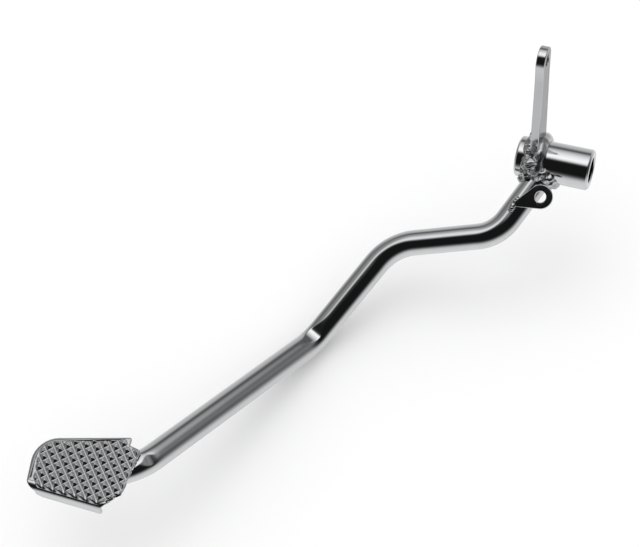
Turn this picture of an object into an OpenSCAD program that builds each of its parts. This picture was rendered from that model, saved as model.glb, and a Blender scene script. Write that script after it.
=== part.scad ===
// Motorcycle rear brake pedal, worked by the right foot.
// Millimetres. +X forward to the foot pad, +Y inboard along the pivot shaft, +Z up.
// The origin is the middle of the pivot bore, with the pad level as at rest.

/* [Pivot sleeve] */
// Outside diameter of the pivot sleeve
sleeve_od = 22; // [21:0.5:24]
// Bore that turns on the pivot shaft
sleeve_bore = 14; // [12:0.5:16]
// Length of the sleeve along the shaft
sleeve_len = 40; // [38:1:46]
// Bevel on the outer rims of the sleeve
sleeve_bevel = 1.5; // [0.5:0.25:2]

/* [Brake rod lever] */
// Distance from the pivot axis to the brake rod hole
lever_reach = 67; // [55:1:80]
// Backward lean of the lever from upright, in degrees
lever_lean = 12; // [6:1:18]
// Thickness of the lever plate
lever_thick = 4.6; // [3:0.2:5]
// Distance of the lever's middle plane outboard of the sleeve's middle
lever_outboard = 10; // [9:0.5:12]
// Diameter of the eye around the sleeve
lever_eye_d = 28; // [27:0.5:31]
// Diameter of the rounded tip around the rod hole
lever_tip_d = 14; // [13:0.5:18]
// Hole for the brake rod's pin
rod_hole_d = 6.5; // [5:0.25:8]

/* [Arm] */
// Diameter of the round bar
bar_d = 14; // [12:0.5:15]
// Length of bar under the pad, past the last bend
tail_len = 33; // [26:1:34]

/* [Switch tab] */
// Thickness of the tab plate
tab_thick = 3.2; // [2:0.2:4]
// Diameter of the tab's round end
tab_eye_d = 13; // [12:0.2:15]
// Hole for the stop-lamp switch spring
tab_hole_d = 6.4; // [4:0.2:7]

/* [Foot pad] */
// Thickness of the pressed pad plate, without its teeth
pad_thick = 2.2; // [1.8:0.1:2.6]
// Distance from one tooth to the next, square to a row
tooth_pitch = 4.3; // [3.8:0.1:5]
// Height of a tooth
tooth_height = 1.4; // [1:0.1:1.8]
// Height of the turned-down front lip, from the plate's top face
lip_drop = 9.5; // [8:0.5:12]
// Outside radius of the lip's bend
lip_bend_r = 3.6; // [3:0.2:4]

/* [Welds] */
// Leg of the fillet weld around the lever's eye
eye_weld = 3.4; // [2:0.2:3.6]
// Radius of the bead where the arm meets the sleeve
arm_bead_r = 2.4; // [1.8:0.2:2.8]
// Radius of the beads between the arm and the pad
pad_bead_r = 2.2; // [1.8:0.2:2.6]
// Radius of the bead around the tab's narrow end
tab_bead_r = 1.5; // [1.2:0.1:1.8]

/* [Hidden] */
$fn = 48;
chrome = [0.80, 0.81, 0.82];
sleeve_r = sleeve_od / 2;
bar_r = bar_d / 2;
bore_bevel = 0.5;
past = 1;
lap = 0.5;
bend_swell = 0.05;

// Corners of the bar's centre line, from the pivot to the pad, and the bend radius at each.
root = [0, -2, 0];
knee = [40, -21, -19.5];
crank = [53, -77.5, -32.5];
dip = [108.5, -107, -59];
heel = [223.5, -154, -18.3];
tail_yaw = -61;
tail = heel + tail_len * [cos(tail_yaw), sin(tail_yaw), 0];
knee_bend = 22;
crank_bend = 30;
dip_bend = 20;
heel_bend = 40;

// Lever outline in its own plane, with the pivot at the origin and the tip upward.
lever_tip = [0, lever_reach];
lever_root_front = 8.4;
lever_root_rear = -9.4;
lever_root_up = 10;
lever_neck_front = 6.3;
lever_neck_rear = -6.6;
lever_neck_up = lever_reach - 8;

// The tab lies on the bar between the knee and the sleeve, leaning forward and rising a little along it.
tab_along = 18;
tab_roll = 14;
tab_dip = -5;
tab_sink = 0.5;
tab_root = [1.9, -0.5];
tab_root_r = 2;
flank = 0.96;
tab_eye = [11.5, -8.1];
tab_bead_start = [-4.2, 1];
tab_bead_end = [4.8, 1.5];
root_dir = unit(root - knee);
root_yaw = atan2(root_dir[1], root_dir[0]);
root_rise = asin(root_dir[2]);

// Pad outline seen from above: corner position and corner radius.
pad_under = -12.6;
pad_top = pad_under + pad_thick;
pad_front = 252.6;
pad_corners = [
    [[212.3, -161.2], 0.8],
    [[216.6, -160.6], 0.6],
    [[217.6, -154.6], 0.8],
    [[241.5, -154], 3],
    [[pad_front, -161.4], 2],
    [[pad_front, -205.4], 5],
    [[234.5, -205.4], 16],
    [[224.5, -202.8], 12]
];
tooth_corners = [
    [[214.4, -161.6], 0.3],
    [[218.4, -160.8], 0.3],
    [[218.8, -154.4], 0.3],
    [[241.4, -153.8], 0.3],
    [[249.2, -160.4], 0.3],
    [[249.2, -202.2], 4],
    [[234, -203.2], 10],
    [[226, -200.8], 8]
];
tooth_rows = 9;
web = 0.1;
pad_middle = [232, -179];
lip_left = -195.4;
lip_corner_r = 7;
arc_steps = 6;

// Seam of the bar on the sleeve, and the number of weld ripples around it.
ripples = 22;

function unit(v) = v / norm(v);

function level_side(d) = unit(cross([0, 0, 1], d));

function turn(a, b, c) = acos(unit(b - a) * unit(c - b));

function run_in(a, b, c, r) = b - unit(b - a) * r * tan(turn(a, b, c) / 2);

function run_out(a, b, c, r) = b + unit(c - b) * r * tan(turn(a, b, c) / 2);

function corner_arc(a, b, c, r) =
    let (
        u = unit(a - b),
        w = unit(c - b),
        half = acos(u * w) / 2,
        centre = b + unit(u + w) * r / sin(half),
        first = b + u * r / tan(half) - centre,
        last = b + w * r / tan(half) - centre,
        start = atan2(first[1], first[0]),
        sweep = atan2(first[0] * last[1] - first[1] * last[0], first * last)
    )
    [for (i = [0:arc_steps])
        centre + r * [cos(start + sweep * i / arc_steps), sin(start + sweep * i / arc_steps)]];

function rounded(corners) =
    let (n = len(corners))
    [for (i = [0:n - 1])
        for (p = corner_arc(
            corners[(i + n - 1) % n][0], corners[i][0], corners[(i + 1) % n][0], corners[i][1]))
            p];

// A point where the bar's surface meets the sleeve's, at angle a around the bar.
function seam(a) =
    let (
        out = unit(knee - root),
        e1 = level_side(out),
        e2 = cross(out, e1),
        q = bar_r * (cos(a) * e1 + sin(a) * e2),
        k2 = out[0] * out[0] + out[2] * out[2],
        k1 = q[0] * out[0] + q[2] * out[2],
        k0 = q[0] * q[0] + q[2] * q[2] - sleeve_r * sleeve_r,
        s = (-k1 + sqrt(k1 * k1 - k2 * k0)) / k2
    )
    root + q + s * out;

module placed(o, x, y, z) {
    multmatrix([
        [x[0], y[0], z[0], o[0]],
        [x[1], y[1], z[1], o[1]],
        [x[2], y[2], z[2], o[2]],
        [0, 0, 0, 1]
    ])
        children();
}

module straight(a, b) {
    d = unit(b - a);
    s = level_side(d);
    placed(a - lap * d, s, cross(d, s), d)
        cylinder(d = bar_d, h = norm(b - a) + 2 * lap);
}

module elbow(a, b, c, r) {
    u = unit(b - a);
    w = unit(c - b);
    inward = unit(w - u * (u * w));
    placed(run_in(a, b, c, r) + inward * r, -inward, u, cross(-inward, u))
        rotate_extrude(angle = turn(a, b, c))
            translate([r, 0])
                circle(r = bar_r + bend_swell);
}

module around_pivot() {
    rotate([-90, 0, 0])
        children();
}

module bar() {
    straight(root, run_in(root, knee, crank, knee_bend));
    elbow(root, knee, crank, knee_bend);
    straight(run_out(root, knee, crank, knee_bend), run_in(knee, crank, dip, crank_bend));
    elbow(knee, crank, dip, crank_bend);
    straight(run_out(knee, crank, dip, crank_bend), run_in(crank, dip, heel, dip_bend));
    elbow(crank, dip, heel, dip_bend);
    straight(run_out(crank, dip, heel, dip_bend), run_in(dip, heel, tail, heel_bend));
    elbow(dip, heel, tail, heel_bend);
    straight(run_out(dip, heel, tail, heel_bend), tail);
}

module pivot_sleeve() {
    color(chrome)
        around_pivot()
            rotate_extrude()
                polygon([
                    [sleeve_bore / 2, -sleeve_len / 2 + bore_bevel],
                    [sleeve_bore / 2 + bore_bevel, -sleeve_len / 2],
                    [sleeve_r - sleeve_bevel, -sleeve_len / 2],
                    [sleeve_r, -sleeve_len / 2 + sleeve_bevel],
                    [sleeve_r, sleeve_len / 2 - sleeve_bevel],
                    [sleeve_r - sleeve_bevel, sleeve_len / 2],
                    [sleeve_bore / 2 + bore_bevel, sleeve_len / 2],
                    [sleeve_bore / 2, sleeve_len / 2 - bore_bevel]
                ]);
}

module brake_lever() {
    color(chrome)
        translate([0, lever_thick / 2 - lever_outboard, 0])
            rotate([90, -lever_lean, 0])
                linear_extrude(lever_thick)
                    difference() {
                        union() {
                            circle(d = lever_eye_d);
                            polygon([
                                [lever_root_front, lever_root_up],
                                [lever_neck_front, lever_neck_up],
                                lever_tip + flank * lever_tip_d / 2 * [1, 0],
                                lever_tip - flank * lever_tip_d / 2 * [1, 0],
                                [lever_neck_rear, lever_neck_up],
                                [lever_root_rear, lever_root_up]
                            ]);
                            translate(lever_tip)
                                circle(d = lever_tip_d);
                        }
                        circle(r = sleeve_r);
                        translate(lever_tip)
                            circle(d = rod_hole_d);
                    }
}

module lever_eye_space() {
    translate([0, -lever_outboard, 0])
        around_pivot()
            cylinder(d = lever_eye_d, h = lever_thick, center = true);
}

module arm() {
    color(chrome)
        difference() {
            bar();
            around_pivot()
                cylinder(r = sleeve_r, h = sleeve_len, center = true);
            lever_eye_space();
            translate([heel[0] - 2 * bar_d, tail[1] - bar_d, pad_under])
                cube([5 * bar_d, 6 * bar_d, bar_d]);
        }
}

module on_tab_plane() {
    translate(knee)
        rotate([0, -root_rise, root_yaw])
            rotate([tab_roll, 0, 0])
                translate([tab_along, 0, bar_r - tab_sink])
                    rotate([0, tab_dip, 0])
                        children();
}

module tab_blank() {
    gap = tab_eye - tab_root;
    lean = acos((tab_eye_d / 2 - tab_root_r) / norm(gap));
    heading = atan2(gap[1], gap[0]) + 180;
    left = [cos(heading + lean), sin(heading + lean)];
    right = [cos(heading - lean), sin(heading - lean)];
    translate(tab_eye)
        circle(d = tab_eye_d);
    translate(tab_root)
        circle(r = tab_root_r);
    polygon([
        tab_root - flank * tab_root_r * left,
        tab_root - flank * tab_root_r * right,
        tab_eye - flank * tab_eye_d / 2 * right,
        tab_eye - flank * tab_eye_d / 2 * left
    ]);
}

module switch_tab() {
    color(chrome)
        difference() {
            on_tab_plane()
                linear_extrude(tab_thick)
                    difference() {
                        tab_blank();
                        translate(tab_eye)
                            circle(d = tab_hole_d);
                    }
            straight(root, knee);
        }
}

module tooth_grooves() {
    depth = tooth_height - web;
    translate([pad_middle[0], pad_middle[1], pad_top + web])
        for (yaw = [45, 135])
            rotate([0, 0, yaw])
                for (i = [-tooth_rows:tooth_rows])
                    translate([-tooth_rows * tooth_pitch, (i + 0.5) * tooth_pitch, 0])
                        rotate([90, 0, 90])
                            linear_extrude(2 * tooth_rows * tooth_pitch)
                                polygon([
                                    [0, 0],
                                    [tooth_pitch / 2, depth],
                                    [tooth_pitch / 2, depth + past],
                                    [-tooth_pitch / 2, depth + past],
                                    [-tooth_pitch / 2, depth]
                                ]);
}

module pad_shell() {
    inner_r = lip_bend_r - pad_thick;
    intersection() {
        translate([0, 0, pad_top - lip_drop])
            linear_extrude(lip_drop)
                polygon(rounded(pad_corners));
        translate([0, pad_middle[1] + 3 * bar_d, 0])
            rotate([90, 0, 0])
                linear_extrude(6 * bar_d)
                    union() {
                        translate([pad_middle[0] - 2 * bar_d, pad_under])
                            square([2 * bar_d + pad_front - lip_bend_r - pad_middle[0], pad_thick]);
                        translate([pad_front - pad_thick, pad_top - lip_drop])
                            square([pad_thick, lip_drop - lip_bend_r]);
                        translate([pad_front - lip_bend_r, pad_top - lip_bend_r])
                            difference() {
                                intersection() {
                                    circle(r = lip_bend_r);
                                    square(lip_bend_r);
                                }
                                circle(r = inner_r);
                            }
                    }
        translate([pad_middle[0] - 2 * bar_d, 0, 0])
            rotate([90, 0, 90])
                linear_extrude(5 * bar_d)
                    union() {
                        translate([lip_left, pad_top - lip_drop])
                            square([4 * bar_d, lip_drop]);
                        intersection() {
                            translate([lip_left, pad_top - lip_drop + lip_corner_r])
                                circle(r = lip_corner_r);
                            translate([lip_left - 2 * bar_d, pad_top - lip_drop])
                                square([2 * bar_d, lip_drop]);
                        }
                        translate([lip_left - 2 * bar_d, pad_under])
                            square([2 * bar_d, pad_thick]);
                    }
    }
}

module foot_pad() {
    color(chrome) {
        pad_shell();
        difference() {
            translate([0, 0, pad_top - lap])
                linear_extrude(tooth_height + lap)
                    polygon(rounded(tooth_corners));
            tooth_grooves();
        }
    }
}

module arm_ripples() {
    for (i = [0:ripples - 1])
        translate(seam(i * 360 / ripples))
            sphere(r = arm_bead_r);
}

module arm_weld() {
    color(chrome)
        difference() {
            arm_ripples();
            straight(root, knee);
            around_pivot()
                cylinder(r = sleeve_r, h = sleeve_len, center = true);
            translate([-bar_d, lever_thick / 2 - lever_outboard - 2 * bar_d, -bar_d])
                cube([3 * bar_d, 2 * bar_d, 2 * bar_d]);
        }
}

module eye_fillet() {
    rotate_extrude()
        translate([sleeve_r, 0])
            intersection() {
                circle(r = eye_weld);
                square(eye_weld);
            }
}

module lever_weld_inner() {
    color(chrome)
        difference() {
            translate([0, lever_thick / 2 - lever_outboard, 0])
                around_pivot()
                    eye_fillet();
            straight(root, knee);
            arm_ripples();
        }
}

module lever_weld_outer() {
    color(chrome)
        translate([0, -lever_thick / 2 - lever_outboard, 0])
            rotate([90, 0, 0])
                eye_fillet();
}

module tab_weld() {
    run = tab_bead_end - tab_bead_start;
    heading = atan2(run[1], run[0]);
    color(chrome)
        difference() {
            on_tab_plane()
                translate([tab_bead_start[0], tab_bead_start[1], tab_sink])
                    rotate([0, 90, heading])
                        cylinder(r = tab_bead_r, h = norm(run));
            straight(root, knee);
            on_tab_plane()
                linear_extrude(tab_thick)
                    tab_blank();
        }
}

module pad_bead(side) {
    length = tail_len - 12;
    across = [-sin(tail_yaw), cos(tail_yaw), 0];
    along = unit(tail - heel);
    first = tail - along * length + across * side * (bar_r - 0.4);
    difference() {
        translate([0, 0, -0.8])
            placed([first[0], first[1], pad_under], across, [0, 0, 1], along)
                cylinder(r = pad_bead_r, h = length - 1);
        bar();
        translate([pad_middle[0] - 3 * bar_d, pad_middle[1] - 3 * bar_d, pad_under])
            cube([6 * bar_d, 6 * bar_d, bar_d]);
    }
}

module pad_weld_front() {
    color(chrome)
        pad_bead(1);
}

module pad_weld_rear() {
    color(chrome)
        pad_bead(-1);
}

pivot_sleeve();
brake_lever();
arm();
switch_tab();
foot_pad();
arm_weld();
lever_weld_inner();
lever_weld_outer();
tab_weld();
pad_weld_front();
pad_weld_rear();
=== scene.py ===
"""Motorcycle rear brake pedal: bent bar, pivot sleeve, rod lever, drilled tab and toothed pad, chromed."""

import logging
import math
from contextlib import contextmanager
from dataclasses import dataclass
from enum import Enum
from typing import Callable, Iterable, Iterator, Sequence

import bmesh
import bpy
from mathutils import Matrix, Vector, noise

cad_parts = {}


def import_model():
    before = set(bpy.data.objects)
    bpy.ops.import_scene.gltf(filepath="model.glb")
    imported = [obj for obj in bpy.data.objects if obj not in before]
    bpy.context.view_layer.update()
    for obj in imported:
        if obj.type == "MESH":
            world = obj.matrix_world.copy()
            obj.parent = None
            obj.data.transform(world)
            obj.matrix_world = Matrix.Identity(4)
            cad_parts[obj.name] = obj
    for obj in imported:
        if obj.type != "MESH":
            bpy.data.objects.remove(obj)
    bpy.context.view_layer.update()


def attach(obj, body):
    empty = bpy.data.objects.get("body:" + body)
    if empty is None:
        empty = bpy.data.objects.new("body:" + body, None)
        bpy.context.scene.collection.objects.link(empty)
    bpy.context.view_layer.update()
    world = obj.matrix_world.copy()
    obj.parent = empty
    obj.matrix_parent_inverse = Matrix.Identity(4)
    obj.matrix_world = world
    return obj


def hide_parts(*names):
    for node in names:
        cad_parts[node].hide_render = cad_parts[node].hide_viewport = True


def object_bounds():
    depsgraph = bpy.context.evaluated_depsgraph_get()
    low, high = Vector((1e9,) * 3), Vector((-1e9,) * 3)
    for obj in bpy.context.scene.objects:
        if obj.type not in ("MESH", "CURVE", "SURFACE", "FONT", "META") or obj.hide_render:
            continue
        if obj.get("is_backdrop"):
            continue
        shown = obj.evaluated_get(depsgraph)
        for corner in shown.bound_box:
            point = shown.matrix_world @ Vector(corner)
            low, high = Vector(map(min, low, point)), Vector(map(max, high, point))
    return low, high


MM = 0.001
LOG = logging.getLogger("brake_pedal")


class Body(Enum):
    """Rigid bodies of the frame that pieces ride on."""

    ROOT = "root"


class Shading(Enum):
    """How a mesh's faces are shaded."""

    SMOOTH = "smooth"
    WEIGHTED = "weighted"


def vec(*mm: float) -> Vector:
    """Returns a point or direction given in millimetres, in metres."""
    return Vector(mm) * MM


# --------------------------------------------------------------------------- shader nodes


class Wire:
    """One number leaving a shader node, with the arithmetic used on it."""

    def __init__(self, book: "NodeBook", socket: bpy.types.NodeSocket) -> None:
        """Keeps the socket and the node tree it belongs to."""
        self.book = book
        self.socket = socket

    def _math(self, operation: str, *terms: object) -> "Wire":
        """Adds one Math node.

        Args:
            operation: the Math node's operation.
            terms: wires or numbers, in socket order.
        Returns:
            The node's result.
        """
        return self.book.add("ShaderNodeMath", {"operation": operation}, dict(enumerate(terms)))

    def __add__(self, other: object) -> "Wire":
        """Returns self + other."""
        return self._math("ADD", self, other)

    __radd__ = __add__

    def __sub__(self, other: object) -> "Wire":
        """Returns self - other."""
        return self._math("SUBTRACT", self, other)

    def __rsub__(self, other: object) -> "Wire":
        """Returns other - self."""
        return self._math("SUBTRACT", other, self)

    def __mul__(self, other: object) -> "Wire":
        """Returns self * other."""
        return self._math("MULTIPLY", self, other)

    __rmul__ = __mul__

    def __truediv__(self, other: object) -> "Wire":
        """Returns self / other."""
        return self._math("DIVIDE", self, other)

    def size(self) -> "Wire":
        """Returns self without its sign."""
        return self._math("ABSOLUTE", self)

    def ramp(self, low: float, high: float) -> "Wire":
        """Returns 0 below low, 1 above high and a smooth step between."""
        values = {"Value": self, "From Min": low, "From Max": high}
        return self.book.add("ShaderNodeMapRange", {"interpolation_type": "SMOOTHSTEP"}, values)


class NodeBook:
    """Adds nodes to one tree."""

    def __init__(self, tree: bpy.types.NodeTree) -> None:
        """Empties the tree."""
        self.tree = tree
        tree.nodes.clear()

    def add(self, kind: str, settings: dict, values: dict, out: object = 0) -> Wire:
        """Adds one node.

        Args:
            kind: the node's type.
            settings: attributes set before the sockets, such as an operation or a ramp's stops.
            values: socket name or number to a wire, number, colour or vector.
            out: name or number of the output to return.
        Returns:
            The chosen output.
        """
        node = self.tree.nodes.new(kind)
        for name, value in settings.items():
            if name == "stops":
                self._stops(node, value)
            else:
                setattr(node, name, value)
        for name, value in values.items():
            if isinstance(value, Wire):
                self.tree.links.new(value.socket, node.inputs[name])
            else:
                node.inputs[name].default_value = value
        return Wire(self, node.outputs[out] if len(node.outputs) else None)

    @staticmethod
    def _stops(node: bpy.types.Node, stops: Sequence[tuple[float, float]]) -> None:
        """Fills a colour ramp with grey stops of (position, level)."""
        elements = node.color_ramp.elements
        while len(elements) < len(stops):
            elements.new(0.5)
        for element, (place, level) in zip(elements, stops):
            element.position = place
            element.color = (level, level, level, 1)

    def noise(self, where: Wire, scale: float, detail: float = 2.0) -> Wire:
        """Returns noise from 0 to 1 at a point, with the scale in waves per metre."""
        values = {"Vector": where, "Scale": scale, "Detail": detail}
        return self.add("ShaderNodeTexNoise", {}, values)

    def mix(self, factor: object, first: object, second: object) -> Wire:
        """Returns a colour between two others."""
        return self.add("ShaderNodeMix", {"data_type": "RGBA"}, {0: factor, 6: first, 7: second}, 2)


@dataclass(frozen=True)
class ChromeFinish:
    """Chrome plate over steel: a cool mirror with a faint ripple, haze and fine pits."""

    name: str
    tint: tuple[float, float, float] = (0.62, 0.625, 0.635)
    haze_tint: tuple[float, float, float] = (0.50, 0.50, 0.51)
    roughness: float = 0.045
    haze: float = 0.06
    ripple: float = 0.012
    ripple_scale: float = 160.0
    grain: float = 0.004
    grain_scale: float = 2600.0
    # Strength of the painted shade in hollows, and of the extra roughness there.
    hollow_shade_and_dullness: float = 0.0
    glancing: float = 1.0

    def material(self) -> bpy.types.Material:
        """Builds the material."""
        made = bpy.data.materials.new(self.name)
        made.use_nodes = True
        book = NodeBook(made.node_tree)
        where = book.add("ShaderNodeTexCoord", {}, {}, "Object")
        cloud = book.noise(where, 70.0, 3.0).ramp(0.42, 0.72)
        specks = book.noise(where, 900.0, 2.0).ramp(0.66, 0.74)
        wave = book.noise(where, self.ripple_scale, 1.5)
        grain = book.noise(where, self.grain_scale, 2.0)
        crease = book.add("ShaderNodeAttribute", {"attribute_name": "crease"}, {}, "Fac")
        dull = cloud * 0.35 + specks * 0.5
        colour = book.mix(dull * 0.5, (*self.tint, 1), (*self.haze_tint, 1))
        # Painted shade: the crease attribute pulls the colour toward near-black in hollows (tooth valleys,
        # dips between weld ripples); the same amount also raises the roughness below.
        colour = book.mix(crease * self.hollow_shade_and_dullness, colour, (0.16, 0.16, 0.165, 1))
        rough = self.roughness + dull * self.haze + grain * 0.02 + crease * (self.hollow_shade_and_dullness * 0.3)
        bump = book.add(
            "ShaderNodeBump",
            {},
            {"Height": wave * self.ripple + grain * self.grain, "Strength": 1.0, "Distance": MM},
        )
        shader = book.add(
            "ShaderNodeBsdfPrincipled",
            {},
            {
                "Base Color": colour, "Metallic": 1.0, "Roughness": rough, "Normal": bump,
                "Specular Tint": (self.glancing, self.glancing, self.glancing, 1),
            },
        )
        book.add("ShaderNodeOutputMaterial", {}, {"Surface": shader})
        return made


POLISHED = ChromeFinish("polished_chrome")
STAMPED = ChromeFinish(
    "stamped_plate_chrome", tint=(0.60, 0.605, 0.615), roughness=0.11, haze=0.12, grain=0.02, glancing=0.6,
)
# The pad and weld finishes paint shade into their hollows; the polished and stamped ones paint none.
PRESSED = ChromeFinish(
    "pressed_pad_chrome", tint=(0.58, 0.585, 0.595), roughness=0.13, haze=0.12, ripple=0.03,
    ripple_scale=420.0, grain=0.03, hollow_shade_and_dullness=0.6,
)
WELDED = ChromeFinish(
    "weld_bead_chrome", tint=(0.54, 0.545, 0.555), roughness=0.2, haze=0.16, ripple=0.12,
    ripple_scale=420.0, grain=0.03, hollow_shade_and_dullness=0.5,
)


# --------------------------------------------------------------------------- meshes


@dataclass
class Piece:
    """Turns points and faces into an object that stands for nodes of the frame."""

    name: str
    nodes: tuple[str, ...]
    slot: str
    shading: Shading = Shading.SMOOTH

    def place(self, mesh: bpy.types.Mesh, finish: bpy.types.Material) -> bpy.types.Object:
        """Adds the object, gives it its finish and ties it to the frame.

        Args:
            mesh: the piece's mesh, in the row frame.
            finish: its material.
        Returns:
            The object.
        """
        obj = bpy.data.objects.new(self.name, mesh)
        bpy.context.collection.objects.link(obj)
        mesh.materials.clear()
        mesh.materials.append(finish)
        mesh.shade_smooth()
        if self.shading is Shading.WEIGHTED:
            mesh.set_sharp_from_angle(angle=math.radians(50))
            weighted = obj.modifiers.new("even_faces", "WEIGHTED_NORMAL")
            weighted.keep_sharp = True
            weighted.weight = 90
        if self.nodes:
            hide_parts(*self.nodes)
        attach(obj, Body.ROOT.value)
        LOG.info("%s: %d faces", self.name, len(mesh.polygons))
        return obj


@contextmanager
def edited(mesh: bpy.types.Mesh) -> Iterator[bmesh.types.BMesh]:
    """Opens a mesh for editing, and writes it back at the end."""
    work = bmesh.new()
    work.from_mesh(mesh)
    yield work
    work.to_mesh(mesh)
    work.free()


def grid_mesh(
    name: str,
    rows: Sequence[Sequence[Vector]],
    closed_rows: bool = False,
    closed_columns: bool = True,
    caps: bool = False,
    creases: Sequence[Sequence[float]] = (),
) -> bpy.types.Mesh:
    """Joins rows of points into quads.

    Args:
        name: the mesh's name.
        rows: equally long rows of points.
        closed_rows: joins the last row to the first.
        closed_columns: joins each row's last point to its first.
        caps: closes the first and last rows with a fan.
        creases: a value from 0 to 1 for each point, for painted shade and extra roughness in hollows.
    Returns:
        The mesh.
    """
    wide = len(rows[0])
    points = [p for row in rows for p in row]
    faces = []
    for i in range(len(rows) if closed_rows else len(rows) - 1):
        for j in range(wide if closed_columns else wide - 1):
            a, b = i * wide, (i + 1) % len(rows) * wide
            k = (j + 1) % wide
            faces.append((a + j, a + k, b + k, b + j))
    values = [c for row in creases for c in row] or [0.0] * len(points)
    if caps:
        for row, flip in ((0, False), (len(rows) - 1, True)):
            middle = sum(rows[row], Vector()) / wide
            points.append(middle)
            values.append(0.0)
            hub = len(points) - 1
            for j in range(wide):
                edge = (row * wide + j, row * wide + (j + 1) % wide)
                faces.append((hub, *edge) if flip else (hub, *reversed(edge)))
    mesh = bpy.data.meshes.new(name)
    mesh.from_pydata(points, [], faces)
    mesh.attributes.new("crease", "FLOAT", "POINT").data.foreach_set("value", values)
    with edited(mesh) as work:
        bmesh.ops.recalc_face_normals(work, faces=work.faces)
    return mesh


def outline_mesh(name: str, loops: Sequence[Sequence[Vector]], thick: float, edge: float) -> bpy.types.Mesh:
    """Extrudes flat outlines into a plate with rounded rims, centred on z = 0.

    Args:
        name: the mesh's name.
        loops: the outer outline and any holes, as points with z = 0.
        thick: the plate's thickness.
        edge: radius of its rims.
    Returns:
        The mesh.
    """
    curve = bpy.data.curves.new(name, "CURVE")
    curve.dimensions = "2D"
    curve.fill_mode = "BOTH"
    curve.extrude = thick / 2 - edge
    curve.bevel_depth = edge
    curve.bevel_resolution = 3
    curve.offset = -edge
    for loop in loops:
        spline = curve.splines.new("POLY")
        spline.points.add(len(loop) - 1)
        for point, place in zip(spline.points, loop):
            point.co = (place[0], place[1], 0, 1)
        spline.use_cyclic_u = True
    holder = bpy.data.objects.new(name, curve)
    bpy.context.collection.objects.link(holder)
    mesh = bpy.data.meshes.new_from_object(holder.evaluated_get(bpy.context.evaluated_depsgraph_get()))
    bpy.data.objects.remove(holder)
    with edited(mesh) as work:
        bmesh.ops.remove_doubles(work, verts=work.verts, dist=0.01 * MM)
        bmesh.ops.recalc_face_normals(work, faces=work.faces)
    mesh.name = name
    return mesh


def arc(middle: Vector, radius: float, start: float, end: float, count: int) -> list[Vector]:
    """Returns points on a flat arc, with its angles in degrees."""
    turns = [math.radians(start + (end - start) * i / count) for i in range(count + 1)]
    return [middle + radius * Vector((math.cos(t), math.sin(t), 0)) for t in turns]


def rounded(corners: Sequence[tuple[float, float, float]], steps: int = 8) -> list[Vector]:
    """Returns a closed outline whose corners are arcs.

    Args:
        corners: x, y and radius of each corner, in millimetres.
        steps: pieces in each arc.
    Returns:
        The outline's points, in metres.
    """
    points = []
    for i, (x, y, radius) in enumerate(corners):
        here = Vector((x, y, 0))
        to_last = (Vector((*corners[i - 1][:2], 0)) - here).normalized()
        to_next = (Vector((*corners[(i + 1) % len(corners)][:2], 0)) - here).normalized()
        half = to_last.angle(to_next) / 2
        middle = here + (to_last + to_next).normalized() * radius / math.sin(half)
        first = here + to_last * radius / math.tan(half) - middle
        last = here + to_next * radius / math.tan(half) - middle
        sweep = math.atan2(first.cross(last).z, first.dot(last))
        begin = math.atan2(first.y, first.x)
        for k in range(steps + 1):
            turn = begin + sweep * k / steps
            points.append((middle + radius * Vector((math.cos(turn), math.sin(turn), 0))) * MM)
    return points


def lathe(name: str, profile: Sequence[tuple[float, float]], steps: int = 192) -> bpy.types.Mesh:
    """Turns a closed profile of (radius, y) in millimetres about the Y axis."""
    rows = []
    for i in range(steps):
        turn = 2 * math.pi * i / steps
        rows.append([vec(r * math.sin(turn), y, r * math.cos(turn)) for r, y in profile])
    return grid_mesh(name, rows, closed_rows=True, closed_columns=True)


def softened(corners: Sequence[tuple[float, float, float]]) -> list[tuple[float, float]]:
    """Returns a closed profile of (radius, y) with small rounds, and support points beside them."""
    points = []
    for i, (x, y, radius) in enumerate(corners):
        here = Vector((x, y))
        last = Vector(corners[i - 1][:2])
        after = Vector(corners[(i + 1) % len(corners)][:2])
        into, away = (last - here).normalized(), (after - here).normalized()
        half = into.angle(away) / 2
        run = radius / math.tan(half)
        middle = here + (into + away).normalized() * radius / math.sin(half)
        first, final = here + into * run, here + away * run
        points.append(here + into * (run + 0.08))
        for k in range(5):
            blend = first.lerp(final, k / 4) - middle
            points.append(middle + blend.normalized() * radius)
        points.append(here + away * (run + 0.08))
    return [(p.x, p.y) for p in points]


# --------------------------------------------------------------------------- pieces


@dataclass
class PivotSleeve:
    """The turned tube that runs on the pivot shaft, about the Y axis."""

    outside: float = 11.0
    bore: float = 7.0
    half_length: float = 20.0
    bevel: float = 1.0
    mouth: float = 0.5
    mouth_round: float = 0.15
    face_round: float = 0.3
    rim_round: float = 0.5

    def build(self) -> bpy.types.Object:
        """Builds and dresses the sleeve."""
        face, inner = self.outside - self.bevel, self.bore + self.mouth
        side = self.half_length - self.bevel
        lip = self.half_length - self.mouth
        near_end = [
            (self.bore, lip, self.mouth_round), (inner, self.half_length, self.mouth_round),
            (face, self.half_length, self.face_round), (self.outside, side, self.rim_round),
        ]
        far_end = [(r, -y, soft) for r, y, soft in near_end]
        mesh = lathe("pivot_sleeve_turned", softened(far_end + near_end[::-1]))
        return Piece("pivot_sleeve_turned", ("pivot_sleeve",), "sleeve").place(mesh, POLISHED.material())


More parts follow.
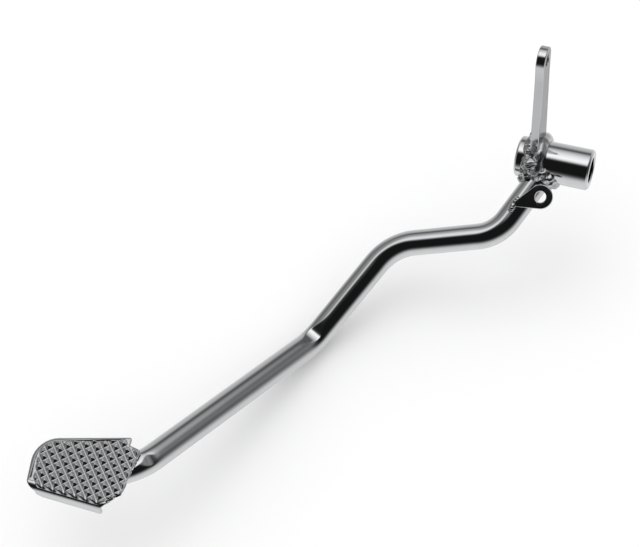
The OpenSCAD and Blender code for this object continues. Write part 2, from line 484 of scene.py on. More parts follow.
@dataclass
class RodLever:
    """The stamped plate that stands up from the sleeve and takes the brake rod's pin."""

    reach: float = 67.0
    lean: float = 12.0
    thick: float = 4.6
    outboard: float = 10.0
    eye: float = 14.0
    tip: float = 7.0
    rod_hole: float = 3.25
    wall: float = 10.4
    edge: float = 0.5

    def outline(self) -> list[Vector]:
        """Returns the outer outline in the plate's own plane."""
        points = arc(vec(0, 0, 0), self.eye * MM, 132.5, 413, 64)
        points.append(vec(7.9, 14.5, 0))
        points.append(vec(6.45, self.reach - 10, 0))
        points += arc(vec(0, self.reach, 0), self.tip * MM, -4, 184, 36)
        points.append(vec(-6.75, self.reach - 10, 0))
        points.append(vec(-8.9, 14.5, 0))
        return points

    def build(self) -> bpy.types.Object:
        """Builds and dresses the lever."""
        loops = [
            self.outline(),
            arc(vec(0, 0, 0), self.wall * MM, 0, 356, 89),
            arc(vec(0, self.reach, 0), self.rod_hole * MM, 0, 352, 44),
        ]
        mesh = outline_mesh("brake_lever_stamped", loops, self.thick * MM, self.edge * MM)
        turn = Matrix.Rotation(math.radians(-self.lean), 4, "Y") @ Matrix.Rotation(math.pi / 2, 4, "X")
        mesh.transform(Matrix.Translation(vec(0, -self.outboard, 0)) @ turn)
        piece = Piece("brake_lever_stamped", ("brake_lever",), "lever", Shading.WEIGHTED)
        return piece.place(mesh, STAMPED.material())


@dataclass
class BarLine:
    """The bent bar's centre line, with the way its cross-section stands at each point."""

    corners: tuple[tuple[float, float, float], ...] = (
        (0, -2, 0), (40, -21, -19.5), (53, -77.5, -32.5), (108.5, -107, -59), (223.5, -154, -18.3),
        (239.5, -182.9, -18.3),
    )
    bends: tuple[float, ...] = (22, 30, 20, 26)
    radius: float = 7.0
    step: float = 1.0
    easing: int = 3

    def points(self) -> list[Vector]:
        """Returns the eased centre line at even steps, in millimetres."""
        corners = [Vector(c) for c in self.corners]
        rough = [corners[0]]
        for a, b, c, bend in zip(corners, corners[1:], corners[2:], self.bends):
            into, away = (b - a).normalized(), (c - b).normalized()
            half = into.angle(away) / 2
            inward = (away - into).normalized()
            middle = b + inward * bend / math.cos(half)
            for k in range(25):
                turn = half * (k / 12 - 1)
                across = (into + away).normalized()
                rough.append(middle + bend * (math.sin(turn) * across - math.cos(turn) * inward))
        rough.append(corners[-1])
        even = self._even(rough)
        for _ in range(self.easing):
            even = [even[0]] + [
                (even[i - 1] + 2 * even[i] + even[i + 1]) / 4 for i in range(1, len(even) - 1)
            ] + [even[-1]]
        return even

    def _even(self, rough: Sequence[Vector]) -> list[Vector]:
        """Returns points one step apart along a polyline."""
        even, left = [rough[0]], self.step
        for a, b in zip(rough, rough[1:]):
            run = (b - a).length
            place = left
            while place <= run:
                even.append(a.lerp(b, place / run))
                place += self.step
            left = place - run
        return even

    @staticmethod
    def across(ahead: Vector) -> tuple[Vector, Vector]:
        """Returns the level and the upright direction square to a direction."""
        side = Vector((0, 0, 1)).cross(ahead).normalized()
        return side, ahead.cross(side)

    def seam(self, count: int, wall: float) -> list[Vector]:
        """Returns points where the bar's surface meets a cylinder about the pivot.

        Args:
            count: number of points around the bar.
            wall: the cylinder's radius.
        Returns:
            The points, in millimetres.
        """
        root = Vector(self.corners[0])
        out = (Vector(self.corners[1]) - root).normalized()
        side, up = self.across(out)
        points = []
        for j in range(count):
            turn = 2 * math.pi * j / count
            q = self.radius * (math.cos(turn) * side + math.sin(turn) * up)
            k2 = out.x ** 2 + out.z ** 2
            k1 = q.x * out.x + q.z * out.z
            k0 = q.x ** 2 + q.z ** 2 - wall ** 2
            points.append(root + q + out * (math.sqrt(k1 * k1 - k2 * k0) - k1) / k2)
        return points


@dataclass(frozen=True)
class DieMark:
    """A flat left in the bar's surface by a bending or pressing die."""

    at: tuple[float, float, float]
    facing: tuple[float, float, float]
    width: float
    depth: float
    edge: float

    def press(self, centre: Vector, q: Vector, ahead: Vector, radius: float) -> Vector:
        """Returns a point of the section, pressed in where the die touched.

        Args:
            centre: the section's middle.
            q: from there to the round surface.
            ahead: the way the bar runs there.
            radius: the bar's radius.
        Returns:
            The moved q.
        """
        near = math.exp(-((centre - Vector(self.at)).length / self.width) ** self.edge)
        if near < 0.01:
            return q
        facing = Vector(self.facing)
        facing = (facing - ahead * facing.dot(ahead)).normalized()
        over = q.dot(facing) - (radius - self.depth * near)
        return q - facing * over if over > 0 else q


@dataclass
class BentBar:
    """The round bar from the sleeve to the pad, pressed flat where the pad sits."""

    line: BarLine
    flat: float = -12.6
    flat_from: float = 195.0
    dies: tuple[DieMark, ...] = ()
    sides: int = 96
    end_round: float = 1.4
    first: int = 20
    root_r: float = 10.2
    root_rows: int = 8

    def pressed(self, centre: Vector, q: Vector, ahead: Vector) -> Vector:
        """Returns a surface point after pressing.

        Args:
            centre: the section's middle.
            q: from there to the round surface.
            ahead: the way the bar runs there.
        Returns:
            The point, in millimetres.
        """
        for die in self.dies:
            q = die.press(centre, q, ahead, self.line.radius)
        point = centre + q
        if point.x > self.flat_from and point.z > self.flat - 0.3:
            lift = point.z - self.flat
            point.z = self.flat - 0.3 * math.exp(-(lift + 0.3) / 0.3)
        return point

    def build(self) -> bpy.types.Object:
        """Builds and dresses the bar."""
        path = self.line.points()
        seam = self.line.seam(self.sides, self.root_r)
        rows = []
        for i in range(self.first, len(path)):
            ahead = (path[min(i + 1, len(path) - 1)] - path[i - 1]).normalized()
            side, up = self.line.across(ahead)
            left = (len(path) - 1 - i) * self.line.step
            shrink = 0.0
            if left < self.end_round:
                shrink = self.end_round - math.sqrt(self.end_round ** 2 - (self.end_round - left) ** 2)
            row = []
            for j in range(self.sides):
                turn = 2 * math.pi * j / self.sides
                q = (self.line.radius - shrink) * (math.cos(turn) * side + math.sin(turn) * up)
                row.append(self.pressed(path[i], q, ahead))
            rows.append(row)
        count = self.root_rows
        start = [[s.lerp(p, k / count) for s, p in zip(seam, rows[0])] for k in range(count)]
        rows = [[p * MM for p in row] for row in start + rows]
        mesh = grid_mesh("arm_bent_bar", rows, caps=True)
        return Piece("arm_bent_bar", ("arm",), "bar").place(mesh, POLISHED.material())


@dataclass
class SwitchTab:
    """The small drilled plate welded to the bar beside the sleeve."""

    line: BarLine
    along: float = 18.0
    roll: float = 14.0
    dip: float = -5.0
    sink: float = 0.5
    thick: float = 3.2
    root: tuple[float, float] = (1.9, -0.5)
    root_r: float = 2.0
    eye: tuple[float, float] = (11.5, -8.1)
    eye_r: float = 6.5
    hole_r: float = 3.0
    edge: float = 0.4

    def plane(self) -> Matrix:
        """Returns the tab's own plane, in metres, with its underside at z = 0."""
        root, knee = Vector(self.line.corners[0]), Vector(self.line.corners[1])
        back = (root - knee).normalized()
        yaw, rise = math.atan2(back.y, back.x), math.asin(back.z)
        lift = Matrix.Translation(vec(self.along, 0, self.line.radius - self.sink))
        turn = Matrix.Rotation(yaw, 4, "Z") @ Matrix.Rotation(-rise, 4, "Y")
        turn = turn @ Matrix.Rotation(math.radians(self.roll), 4, "X")
        return Matrix.Translation(knee * MM) @ turn @ lift @ Matrix.Rotation(math.radians(self.dip), 4, "Y")

    def build(self) -> bpy.types.Object:
        """Builds and dresses the tab."""
        eye, root = Vector((*self.eye, 0)), Vector((*self.root, 0))
        gap = eye - root
        lean = math.degrees(math.acos((self.eye_r - self.root_r) / gap.length))
        heading = math.degrees(math.atan2(gap.y, gap.x))
        outer = arc(eye * MM, self.eye_r * MM, heading - 180 + lean, heading + 180 - lean, 48)
        outer += arc(root * MM, self.root_r * MM, heading + 180 - lean, heading + 180 + lean, 14)
        hole = arc(eye * MM, self.hole_r * MM, 0, 352.5, 47)
        mesh = outline_mesh("switch_tab_drilled", [outer, hole], self.thick * MM, self.edge * MM)
        mesh.transform(self.plane() @ Matrix.Translation(vec(0, 0, self.thick / 2)))
        piece = Piece("switch_tab_drilled", ("switch_tab",), "tab", Shading.WEIGHTED)
        return piece.place(mesh, POLISHED.material())


@dataclass
class FootPad:
    """The pressed pad: a plate with a rolled rim, a turned-down front lip and ridges notched into teeth."""

    under: float = -12.6
    thick: float = 2.2
    edge: float = 0.8
    front: float = 252.6
    bend: float = 3.6
    drop: float = 9.5
    lip_right: float = -162.6
    lip_left: float = -193.8
    lip_round: float = 7.0
    lip_end: float = 1.2
    lip_square: float = 7.05
    inboard_corners: tuple[tuple[float, float, float], ...] = (
        (212.3, -161.2, 0.8), (216.6, -160.6, 0.6), (217.6, -154.6, 0.8), (241.5, -154, 3),
    )
    outboard_corners: tuple[tuple[float, float, float], ...] = (
        (252.6, -161.4, 2), (252.6, -203.0, 5), (226.0, -209.3, 13),
    )
    rim_drop: float = 1.1
    rim_width: float = 2.2
    rim_least: float = 0.5
    rim_from: float = -163.0
    rim_fade: float = 8.0
    rim_fade_bend: float = 2.0
    rim_corners: tuple[tuple[float, float, float], ...] = (
        (262, -171.2, 2), (262, -200.6, 2), (226.0, -209.6, 13),
    )
    middle: tuple[float, float] = (232.0, -179.0)
    pitch: float = 4.3
    tooth: float = 1.5
    per_tooth: int = 14
    rows: int = 8
    ridge_slope: float = 1.45
    ridge_sink: float = 0.3
    notch_low: float = 0.12
    climb: float = 0.36
    crest: float = 0.52
    fall: float = 0.4
    groove: float = 0.1
    groove_depth: float = 0.025
    shoulder: float = 0.7
    hem_lap: float = 0.15
    proud: float = 0.01
    buried: float = 1.0
    # Painted shade in the tooth valleys, and how far inside the toothed part it starts.
    valley_shade: float = 0.3
    valley_shade_inset: float = 0.3
    tooth_corners: tuple[tuple[float, float, float], ...] = (
        (213.8, -162.0, 0.3), (217.9, -161.2, 0.3), (218.4, -154.4, 0.3), (242.6, -153.8, 0.3),
        (251.4, -162.4, 0.3), (251.4, -197.4, 2), (247, -200.6, 4), (227.6, -205.6, 10),
    )

    @property
    def top(self) -> float:
        """Returns the height of the plate's top face."""
        return self.under + self.thick

    @property
    def bend_start(self) -> float:
        """Returns where the flat of the plate ends and the lip's bend begins."""
        return self.front - self.bend

    def rim_share(self, x: float, y: float) -> float:
        """Returns how fully the pad's rim is rolled over there, from 0 at the arm's side to 1."""
        side = share_of((self.rim_from - y) / self.rim_fade)
        return side * share_of((self.bend_start - x) / self.rim_fade_bend)

    def rim_reach(self, x: float, y: float) -> float:
        """Returns how far in from the outline the rolled rim reaches there."""
        return self.rim_least + (self.rim_width - self.rim_least) * self.rim_share(x, y)

    def rim(self, steps: int = 8) -> bpy.types.Mesh:
        """Returns the rolled rim around the flat of the pad, in a number of steps across it."""
        outline = [p / MM for p in rounded(self.inboard_corners + self.rim_corners)]
        count = len(outline)
        area = sum(outline[i - 1].x * outline[i].y - outline[i].x * outline[i - 1].y for i in range(count))
        turned = 1 if area > 0 else -1
        rows = []
        for k in range(-1, steps + 1):
            turn = math.pi / 2 * max(k, 0) / steps
            row = []
            for i, p in enumerate(outline):
                ahead = (outline[(i + 1) % count] - outline[i - 1]).normalized()
                inward = Vector((-ahead.y, ahead.x, 0)) * turned
                fall = self.rim_least + (self.rim_drop - self.rim_least) * self.rim_share(p.x, p.y)
                spot = p + inward * self.rim_reach(p.x, p.y) * (1 - math.cos(turn))
                z = self.top - fall * (1 - math.sin(turn)) if k >= 0 else self.top - self.rim_drop - 0.3
                row.append(vec(spot.x, spot.y, z))
            rows.append(row)
        mesh = grid_mesh("foot_pad_rim", rows)
        with edited(mesh) as work:
            cut_across(work, self.bend_start, clear_outer=True)
        return mesh

    def flat_outline(self) -> list[Vector]:
        """Returns the plate's outline before the lip is folded down."""
        start, quarter, lip_edge = self.bend_start, self.bend * math.pi / 2, self.front - 0.01
        points, lip_done = [], False
        plan = [p / MM for p in rounded(self.inboard_corners + self.outboard_corners)]
        for p, after in zip(plan, plan[1:] + plan[:1]):
            over = p.x - start
            along = self.bend * math.asin(min(1.0, over / self.bend)) if over > 0 else over
            points.append(vec(start + along, p.y, 0))
            if not lip_done and min(p.x, after.x) > lip_edge and after.y < p.y - self.lip_end:
                end = start + quarter + self.drop - self.bend
                corner = vec(end - self.lip_end, self.lip_right - self.lip_end, 0)
                points += arc(corner, self.lip_end * MM, 90, 0, 6)
                points += self.lip_corner(start + quarter)
                lip_done = True
        return points

    def lip_corner(self, base: float, steps: int = 12) -> list[Vector]:
        """Returns the lip's rounded outer corner, from its lower edge up towards the bend.

        Args:
            base: where the bend ends on the flat plate.
            steps: pieces in the corner.
        Returns:
            The corner's points, in metres.
        """
        points = []
        for k in range(steps + 1):
            depth = self.drop - (self.drop - self.lip_square) * k / steps
            off = depth + self.lip_round - self.drop
            y = self.lip_left - math.sqrt(max(0.0, self.lip_round ** 2 - off ** 2))
            points.append(vec(base + depth - self.bend, y, 0))
        return points

    def fold(self, p: Vector) -> Vector:
        """Returns where a point of the flat plate goes when the lip is bent."""
        start = self.bend_start
        x, y, below = p.x / MM, p.y / MM, -p.z / MM
        run = x - start
        if run <= 0:
            return vec(x, y, self.top - below)
        turn = run / self.bend
        if turn < math.pi / 2:
            radius = self.bend - below
            height = self.top - self.bend + radius * math.cos(turn)
            return vec(start + radius * math.sin(turn), y, height)
        return vec(self.front - below, y, self.top - self.bend - (run - self.bend * math.pi / 2))

    def plate(self, steps: int = 12) -> bpy.types.Mesh:
        """Returns the plate, lowered under its toothed skin and folded, with steps round the bend."""
        mesh = outline_mesh("foot_pad_plate", [self.flat_outline()], self.thick * MM, self.edge * MM)
        mesh.transform(Matrix.Translation(vec(0, 0, -self.thick / 2)))
        with edited(mesh) as work:
            cut_across(work, self.bend_start - 0.6)
            for k in range(steps + 1):
                cut_across(work, self.bend_start + self.bend * math.pi / 2 * k / steps)
            for corner in work.verts:
                if corner.co.x < (self.bend_start - 0.5) * MM:
                    corner.co.z = min(corner.co.z, -self.rim_drop * MM)
                corner.co = self.fold(corner.co)
            bmesh.ops.recalc_face_normals(work, faces=work.faces)
        return mesh

    def height(self, a: float, b: float) -> float:
        """Returns a tooth's height above the plate, as a share of the full height.

        Args:
            a: place along the ridges, in pitches.
            b: place across them, in pitches.
        Returns:
            0 in the valleys, 1 on the crests.
        """
        across = 1 - abs(2 * (b % 1) - 1)
        ridge = share_of(across * self.ridge_slope - self.ridge_sink)
        deep, place = 1 - self.notch_low, a % 1
        if place < self.climb:
            notch = self.notch_low + deep * place / self.climb
        elif place < self.crest:
            notch = 1.0
        else:
            notch = 1 - deep * min(1.0, (place - self.crest) / self.fall)
        gap = max(0.0, self.groove - abs(ridge - notch)) / self.groove
        return min(ridge, notch) - gap * gap * self.groove_depth

    def skin(self, x: float, y: float, inside: float, from_hem: float, height: float) -> Vector:
        """Returns a point of the toothed skin.

        Args:
            x: place ahead of the pivot.
            y: place across.
            inside: how far inside the toothed part it lies.
            from_hem: how far inside the pad's rim it lies.
            height: the tooth's height there, as a share.
        Returns:
            The point, buried in the plate outside the rim.
        """
        over = min(self.bend, max(0.0, x - self.bend_start))
        bent = self.bend - math.sqrt(self.bend ** 2 - over ** 2)
        covers = from_hem if over == 0 else inside - self.hem_lap
        base = self.top - bent + (self.proud if covers > -self.hem_lap else -self.buried)
        return vec(x, y, base + self.tooth * height * share_of(inside / self.shoulder))

    def teeth(self) -> bpy.types.Mesh:
        """Returns the toothed skin over the flat of the plate and the top of its bend."""
        toothed = [p / MM for p in rounded(self.tooth_corners, 4)]
        hem = [p / MM for p in rounded(self.inboard_corners + self.rim_corners, 4)]
        count = self.rows * 2 * self.per_tooth
        root = math.sqrt(0.5)
        rows, levels = [], []
        for i in range(count + 1):
            a = i / self.per_tooth - self.rows
            row, level = [], []
            for j in range(count + 1):
                b = j / self.per_tooth - self.rows
                x = self.middle[0] + root * (a - b) * self.pitch
                y = self.middle[1] + root * (a + b) * self.pitch
                inside, height = inset(toothed, x, y), self.height(a + 0.5, b + 0.5)
                row.append(self.skin(x, y, inside, inset(hem, x, y) - self.rim_reach(x, y), height))
                # Painted shade: deeper points of the teeth get a higher crease value, which the finish
                # turns into darker colour.
                level.append(self.valley_shade * (1 - height) if inside > self.valley_shade_inset else 0.0)
            rows.append(row)
            levels.append(level)
        mesh = grid_mesh("foot_pad_teeth", rows, closed_columns=False, creases=levels)
        with edited(mesh) as work:
            low = (self.top - self.buried + self.proud) * MM
            sunk = [f for f in work.faces if all(v.co.z < low for v in f.verts)]
            bmesh.ops.delete(work, geom=sunk, context="FACES")
        return mesh

    def build(self) -> list[bpy.types.Object]:
        """Builds and dresses the plate, its rim and its teeth."""
        finish = PRESSED.material()
        plate = Piece("foot_pad_plate", ("foot_pad",), "pad", Shading.WEIGHTED).place(self.plate(), finish)
        rim = Piece("foot_pad_rim", (), "pad").place(self.rim(), finish)
        teeth = Piece("foot_pad_teeth", (), "pad").place(self.teeth(), finish)
        return [plate, rim, teeth]


def share_of(value: float) -> float:
    """Returns a value held between 0 and 1."""
    return min(1.0, max(0.0, value))


def cut_across(work: bmesh.types.BMesh, x: float, clear_outer: bool = False) -> None:
    """Cuts a mesh in the plane square to X, and may take away what lies beyond it."""
    every = work.verts[:] + work.edges[:] + work.faces[:]
    bmesh.ops.bisect_plane(
        work, geom=every, plane_co=vec(x, 0, 0), plane_no=Vector((1, 0, 0)), clear_outer=clear_outer,
    )


def inset(outline: Sequence[Vector], x: float, y: float) -> float:
    """Returns how far inside a closed outline a point lies, below 0 outside it."""
    nearest, inside = 1e9, False
    for p, q in zip(outline, list(outline[1:]) + [outline[0]]):
        if (p.y > y) != (q.y > y) and x < (q.x - p.x) * (y - p.y) / (q.y - p.y) + p.x:
            inside = not inside
        dx, dy = q.x - p.x, q.y - p.y
        run = dx * dx + dy * dy
        share = 0.0 if run == 0 else min(1.0, max(0.0, ((x - p.x) * dx + (y - p.y) * dy) / run))
        nearest = min(nearest, math.hypot(x - p.x - share * dx, y - p.y - share * dy))
    return nearest if inside else -nearest


@dataclass
class WeldBead:
    """A run of weld: a rounded cord laid in overlapping ripples."""

    name: str
    nodes: tuple[str, ...]
    radius: float
    ripples: int
    ripple: float = 0.16
    lumps: float = 0.18
    skew: float = 0.35
    steps: int = 14
    sides: int = 24

    def build(
        self, path: Callable[[float], Vector], out: Callable[[float], Vector], finish: bpy.types.Material,
        closed: bool,
    ) -> bpy.types.Object:
        """Builds and dresses the bead.

        Args:
            path: the bead's centre for a share 0 to 1 of its length, in millimetres.
            out: the direction it stands proud, for the same share.
            finish: its material.
            closed: whether it joins its own start.
        Returns:
            The object.
        """
        count = self.ripples * self.steps
        rows, creases = [], []
        for i in range(count if closed else count + 1):
            share = i / count
            here = path(share)
            ahead = (path(share + 0.002) - path(share - 0.002)).normalized()
            rise = out(share)
            rise = (rise - ahead * rise.dot(ahead)).normalized()
            side = ahead.cross(rise)
            taper = 1.0
            if not closed:
                from_end = min(share, 1 - share) * count / self.steps
                taper = math.sqrt(max(0.0, 1 - max(0.0, 1 - from_end) ** 2)) * 0.98 + 0.02
            row, crease = [], []
            for j in range(self.sides):
                turn = 2 * math.pi * j / self.sides
                wave = abs(math.sin(math.pi * (share * self.ripples + self.skew * math.cos(turn))))
                spot = here + self.radius * (math.cos(turn) * rise + math.sin(turn) * side)
                lump = noise.noise(spot * 0.42 + Vector((3.1, 1.7, self.radius)))
                swell = 1 - self.ripple * (1 - wave) ** 2 + self.lumps * lump
                radius = self.radius * taper * swell
                row.append((here + radius * (math.cos(turn) * rise + math.sin(turn) * side)) * MM)
                # Painted shade: the dips between ripples get a higher crease value, which the finish turns
                # into darker colour.
                crease.append((1 - wave) ** 3)
            rows.append(row)
            creases.append(crease)
        mesh = grid_mesh(self.name, rows, closed_rows=closed, caps=not closed, creases=creases)
        return Piece(self.name, self.nodes, "weld").place(mesh, finish)


@dataclass
class Welds:
    """Every weld run on the pedal."""

    line: BarLine
    tab: SwitchTab
    lever: RodLever
    sleeve_r: float = 11.0
    tab_ends: tuple[tuple[float, float], ...] = ((-4.6, 1.0), (5.0, 1.5))
    toe_ends: tuple[tuple[float, float, float], ...] = ((14.2, -10, 8), (11.5, -10, 16.5))
    pad_run_from: float = 13.0
    pad_run_off: float = 6.6
    pad_run_height: float = -13.5
    sit: float = 0.35

    def arm_seam(self, finish: bpy.types.Material) -> bpy.types.Object:
        """Builds the ring where the bar meets the sleeve."""
        count = 240
        seam = self.line.seam(count, self.sleeve_r)
        root = Vector(self.line.corners[0])
        run = (Vector(self.line.corners[1]) - root).normalized()

        def at(share: float) -> Vector:
            """Returns the seam's point at a share of the way round."""
            place = share % 1 * count
            low = int(place) % count
            return seam[low].lerp(seam[(low + 1) % count], place - int(place))

        def out(share: float) -> Vector:
            """Returns the way between the sleeve's and the bar's own outward directions."""
            p = at(share)
            radial = Vector((p.x, 0, p.z)).normalized()
            off = p - root
            return radial + (off - run * off.dot(run)).normalized()

        bead = WeldBead("arm_weld_ring", ("arm_weld",), 3.5, 11, ripple=0.2, lumps=0.5)
        return bead.build(at, out, finish, closed=True)

    def around_sleeve(
        self, name: str, node: str, y: float, away: float, radius: float, ripples: int, lumps: float,
        finish: bpy.types.Material,
    ) -> bpy.types.Object:
        """Builds a fillet between the lever's plate and the sleeve.

        Args:
            name: the piece's name.
            node: the node it stands for.
            y: the plate's face.
            away: which way the face looks, 1 or -1.
            radius: the bead's radius.
            ripples: number of ripples round it.
            lumps: how uneven it is.
            finish: its material.
        Returns:
            The object.
        """

        def at(share: float) -> Vector:
            """Returns a point on the circle at the foot of the plate."""
            turn = 2 * math.pi * share
            middle = self.sleeve_r + self.sit
            return Vector((middle * math.cos(turn), y + self.sit * away, middle * math.sin(turn)))

        def out(share: float) -> Vector:
            """Returns the way between the sleeve's and the plate's outward directions."""
            turn = 2 * math.pi * share
            return Vector((math.cos(turn), away, math.sin(turn)))

        bead = WeldBead(name, (node,), radius, ripples, ripple=lumps / 3, lumps=lumps)
        return bead.build(at, out, finish, closed=True)

    def straight(
        self, name: str, node: str, ends: tuple[Vector, Vector], out: Vector, radius: float, ripples: int,
        finish: bpy.types.Material,
    ) -> bpy.types.Object:
        """Builds a straight run between two points, standing proud along out."""
        bead = WeldBead(name, (node,), radius, ripples, lumps=0.25)
        return bead.build(lambda s: ends[0].lerp(ends[1], s), lambda s: out, finish, closed=False)

    def tab_run(self, finish: bpy.types.Material) -> bpy.types.Object:
        """Builds the run between the tab and the bar."""
        plane = self.tab.plane()
        ends = tuple(plane @ vec(x, y, 0.9) / MM for x, y in self.tab_ends)
        return self.straight("tab_weld_run", "tab_weld", ends, Vector((0, 0, 1)), 1.9, 5, finish)

    def toe(self, finish: bpy.types.Material) -> bpy.types.Object:
        """Builds the short build-up of weld on the lever's foot."""
        foot, head = (Vector(p) for p in self.toe_ends)
        bead = WeldBead("lever_weld_toe", (), 3.1, 5, ripple=0.15, lumps=0.5)
        out = Vector((0.9, 0, 0.4))
        return bead.build(lambda s: foot.lerp(head, s), lambda s: out, finish, closed=False)

    def pad_run(self, name: str, node: str, way: int, finish: bpy.types.Material) -> bpy.types.Object:
        """Builds one run under the pad, beside the bar.

        Args:
            name: the piece's name.
            node: the node it stands for.
            way: the side of the bar, 1 or -1.
            finish: its material.
        Returns:
            The object.
        """
        heel, tail = Vector(self.line.corners[4]), Vector(self.line.corners[5])
        along = (tail - heel).normalized()
        side = Vector((-along.y, along.x, 0)) * way
        first = heel + along * self.pad_run_from + side * self.pad_run_off
        last = tail + side * self.pad_run_off
        first.z = last.z = self.pad_run_height
        return self.straight(name, node, (first, last), side + Vector((0, 0, -1)), 2.0, 8, finish)

    def build(self) -> list[bpy.types.Object]:
        """Builds every run."""
        finish = WELDED.material()
        face, outboard = self.lever.thick / 2, self.lever.outboard
        inner, outer = "lever_weld_inboard", "lever_weld_outboard"
        return [
            self.arm_seam(finish),
            self.around_sleeve(inner, "lever_weld_inner", face - outboard, 1, 3.6, 6, 0.12, finish),
            self.around_sleeve(outer, "lever_weld_outer", -face - outboard, -1, 3.3, 11, 0.45, finish),
            self.tab_run(finish),
            self.toe(finish),
            self.pad_run("pad_weld_front_run", "pad_weld_front", 1, finish),
            self.pad_run("pad_weld_rear_run", "pad_weld_rear", -1, finish),
        ]


# --------------------------------------------------------------------------- studio


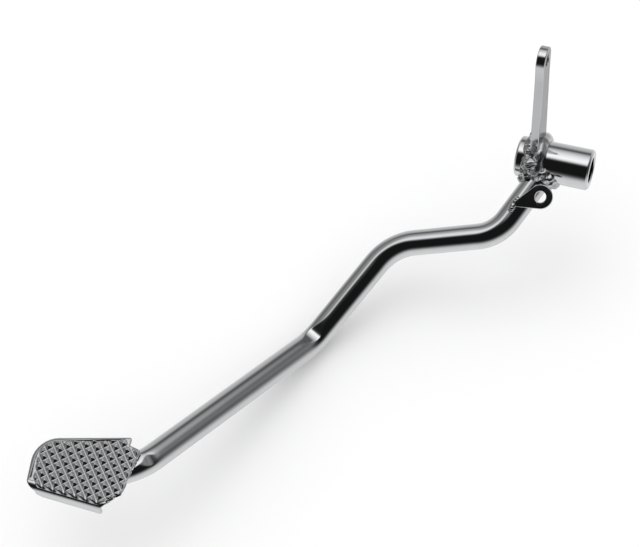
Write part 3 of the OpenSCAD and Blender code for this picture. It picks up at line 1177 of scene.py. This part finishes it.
@dataclass
class Studio:
    """A pale floor in a light tent with a dark opening.

    Each wall is a list of degrees above the skyline and brightness there. The one ahead holds the opening.
    """

    floor_half: float = 4.0
    floor_drop: float = 0.0005
    floor_tone: float = 0.93
    lens: float = 91.405
    stand: tuple[float, float, float] = (0.51153, 0.13568, 0.70316)
    looks_back: tuple[float, float, float] = (0.48538, 0.27634, 0.82948)
    rightward: tuple[float, float, float] = (-0.33355, 0.93551, -0.11648)
    ahead_at: float = 18.0
    ahead_half: tuple[float, float] = (46.0, 95.0)
    behind_from: tuple[float, float] = (100.0, 150.0)
    soft_level: float = 1.03
    backdrop_level: float = 0.98
    ahead: tuple[tuple[float, float], ...] = (
        (-90, 0.97), (-45, 0.95), (-31, 0.9), (-18, 0.62), (-8, 0.26), (-3, 0.12), (4, 0.04), (10, 0.012),
        (60, 0.012), (65, 0.04), (70, 0.3), (75, 1.0), (82, 1.45),
    )
    sides: tuple[tuple[float, float], ...] = (
        (-90, 0.78), (-45, 0.84), (-30, 0.72), (-20, 0.56), (-9, 0.4), (0, 0.25), (6, 0.19), (16, 0.18),
        (28, 0.27), (38, 0.35), (49, 0.4), (53, 0.62), (57, 1.0), (64, 1.2), (80, 1.5),
    )
    behind: tuple[tuple[float, float], ...] = (
        (-90, 0.78), (-25, 0.9), (-10, 0.75), (10, 0.64), (18, 0.45), (25, 0.2), (31, 0.13), (36, 0.2),
        (41, 0.42), (46, 0.62), (54, 0.85), (63, 1.1), (75, 1.35), (90, 1.6),
    )

    def floor(self, lowest: float) -> bpy.types.Object:
        """Lays the floor under the pedal."""
        half, z = self.floor_half, lowest - self.floor_drop
        mesh = bpy.data.meshes.new("floor")
        spots = [(-half, -half, z), (half, -half, z), (half, half, z), (-half, half, z)]
        mesh.from_pydata(spots, [], [(0, 1, 2, 3)])
        made = bpy.data.materials.new("pale_floor")
        made.use_nodes = True
        book = NodeBook(made.node_tree)
        tone = (self.floor_tone, self.floor_tone, self.floor_tone, 1)
        shader = book.add("ShaderNodeBsdfPrincipled", {}, {"Base Color": tone, "Roughness": 0.9})
        book.add("ShaderNodeOutputMaterial", {}, {"Surface": shader})
        mesh.materials.append(made)
        obj = bpy.data.objects.new("floor", mesh)
        bpy.context.collection.objects.link(obj)
        obj.visible_glossy = False
        obj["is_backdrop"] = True
        return obj

    def tent(self) -> None:
        """Makes the world that the chrome mirrors: bright above, dim at the skyline, dark ahead."""
        world = bpy.data.worlds.new("light_tent")
        world.use_nodes = True
        bpy.context.scene.world = world
        book = NodeBook(world.node_tree)
        way = book.add("ShaderNodeTexCoord", {}, {}, "Generated")
        x, y, z = (book.add("ShaderNodeSeparateXYZ", {}, {0: way}, axis) for axis in "XYZ")
        degrees = 180 / math.pi
        rise = book.add("ShaderNodeMath", {"operation": "ARCSINE"}, {0: z}) * degrees
        round_ = book.add("ShaderNodeMath", {"operation": "ARCTAN2"}, {0: y, 1: x}) * degrees
        back = round_.size().ramp(*self.behind_from)
        off = (round_ - self.ahead_at).size().ramp(*self.ahead_half)
        off = off * off
        walls = (self.ahead, self.sides, self.behind)
        ahead, sides, behind = (self.wall(book, rise, stops) for stops in walls)
        tent = (sides * (1 - back) + behind * back) * off + ahead * (1 - off)
        seen = book.add("ShaderNodeLightPath", {}, {}, "Is Camera Ray")
        soft = book.add("ShaderNodeLightPath", {}, {}, "Is Diffuse Ray")
        level = tent * (1 - soft) + soft * self.soft_level
        level = level * (1 - seen) + seen * self.backdrop_level
        glow = book.add("ShaderNodeBackground", {}, {"Color": level, "Strength": 1.0})
        book.add("ShaderNodeOutputWorld", {}, {"Surface": glow})

    @staticmethod
    def wall(book: NodeBook, rise: Wire, stops: Sequence[tuple[float, float]]) -> Wire:
        """Returns the tent's brightness by height.

        Args:
            book: the world's nodes.
            rise: degrees above the skyline.
            stops: pairs of degrees and brightness.
        Returns:
            The brightness.
        """
        places = [((degrees + 90) / 180, level / 2) for degrees, level in stops]
        ramp = book.add("ShaderNodeValToRGB", {"stops": places}, {0: (rise + 90) / 180})
        return ramp * 2

    def lamp(self) -> bpy.types.Object:
        """Hangs one broad soft light overhead for the shadow on the floor."""
        light = bpy.data.lights.new("overhead_softbox", "AREA")
        light.shape = "RECTANGLE"
        light.size, light.size_y = 1.2, 0.9
        light.energy = 2.5
        obj = bpy.data.objects.new("overhead_softbox", light)
        obj.location = (-0.35, -0.35, 1.3)
        obj.rotation_euler = (Vector((0.1, -0.1, 0)) - obj.location).to_track_quat("-Z", "Y").to_euler()
        bpy.context.collection.objects.link(obj)
        obj.visible_glossy = False
        return obj

    def camera(self) -> bpy.types.Object:
        """Sets up the camera above the pad's side, rolled a little."""
        data = bpy.data.cameras.new("camera")
        data.lens = self.lens
        data.sensor_width = 36
        data.clip_start, data.clip_end = 0.01, 50
        obj = bpy.data.objects.new("camera", data)
        back = Vector(self.looks_back).normalized()
        right = Vector(self.rightward).normalized()
        up = back.cross(right).normalized()
        right = up.cross(back)
        turn = Matrix((right, up, back)).transposed().to_4x4()
        obj.matrix_world = Matrix.Translation(self.stand) @ turn
        bpy.context.collection.objects.link(obj)
        bpy.context.scene.camera = obj
        return obj

    def build(self, lowest: float) -> None:
        """Builds the whole studio."""
        self.floor(lowest)
        self.tent()
        self.lamp()
        self.camera()
        bpy.context.scene.view_settings.view_transform = "Standard"


def plain(box: Iterable[Vector]) -> list[list[float]]:
    """Returns corners as plain lists of numbers."""
    return [[round(float(c), 6) for c in corner] for corner in box]


def main() -> None:
    """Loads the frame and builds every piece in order."""
    logging.basicConfig(level=logging.INFO, format="%(message)s")
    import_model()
    line = BarLine()
    lever = RodLever()
    tab = SwitchTab(line)
    PivotSleeve().build()
    lever.build()
    dip_mark = DieMark((107.0, -106.0, -57.5), (-0.45, 0.35, 0.82), 7.0, 1.1, 2)
    heel_mark = DieMark((219.0, -152.6, -20.2), (0.3, 0.4, 0.86), 2.4, 0.8, 2)
    BentBar(line, dies=(dip_mark, heel_mark)).build()
    tab.build()
    FootPad().build()
    Welds(line, tab, lever).build()
    seen_box = plain(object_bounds())
    Studio().build(seen_box[0][2])


if __name__ == "__main__":
    main()
